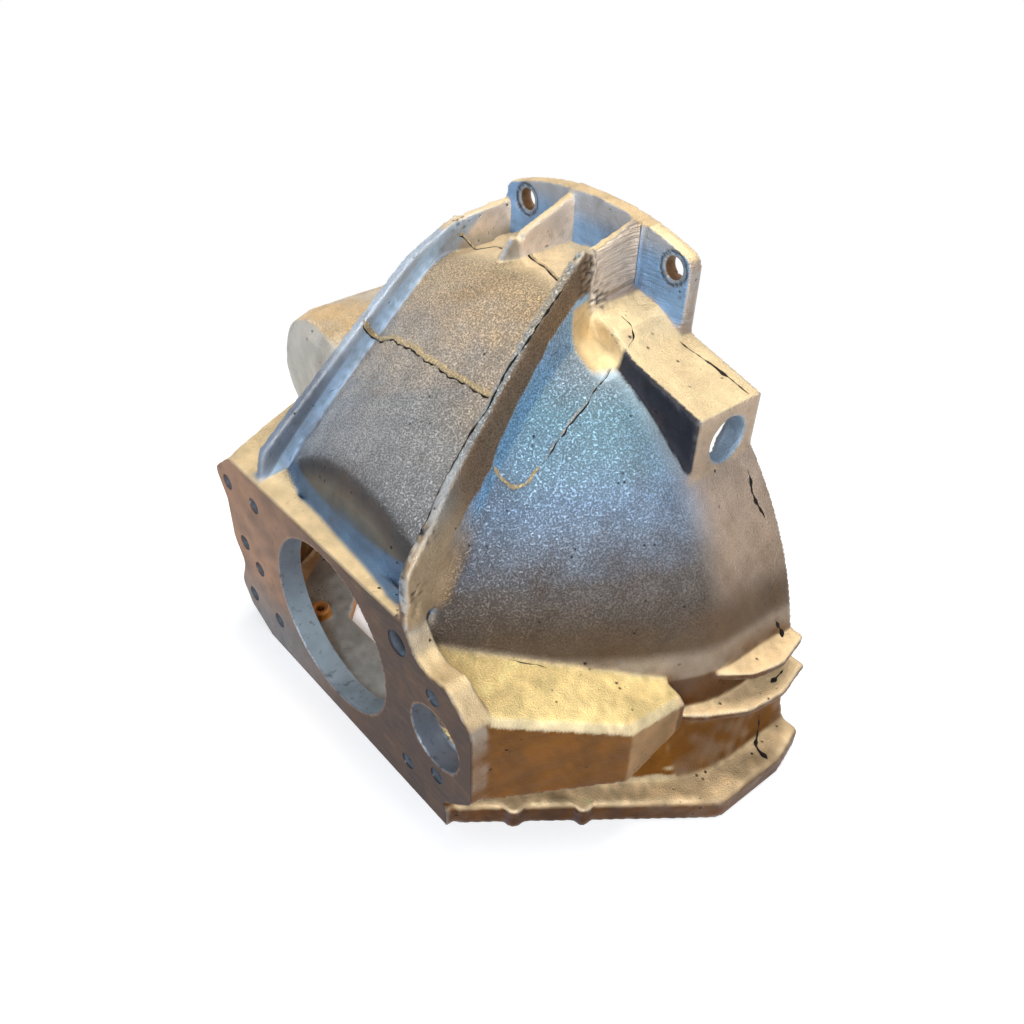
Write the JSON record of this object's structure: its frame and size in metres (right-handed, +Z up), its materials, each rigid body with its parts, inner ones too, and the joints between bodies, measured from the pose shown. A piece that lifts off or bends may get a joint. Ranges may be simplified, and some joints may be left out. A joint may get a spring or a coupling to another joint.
{
  "type": "clutch housing",
  "caption": "Cast aluminium bell housing that joins an engine to a gearbox, with a bored gearbox face, long ribs, a starter pocket and a flat bottom joint.",
  "frame": {"origin": "centre of the main bore on the gearbox face", "axes": "+X along the crank axis from the gearbox face to the engine face, +Y to the starter side, +Z up from the bottom joint"},
  "size_m": [0.204, 0.414, 0.2835],
  "materials": {
    "cast_aluminium": "sand cast with machined faces and bores, dull, stained tan low on the sides"
  },
  "bodies": {
    "root": {"clutch_housing": "cast_aluminium"}
  },
  "joints": []
}
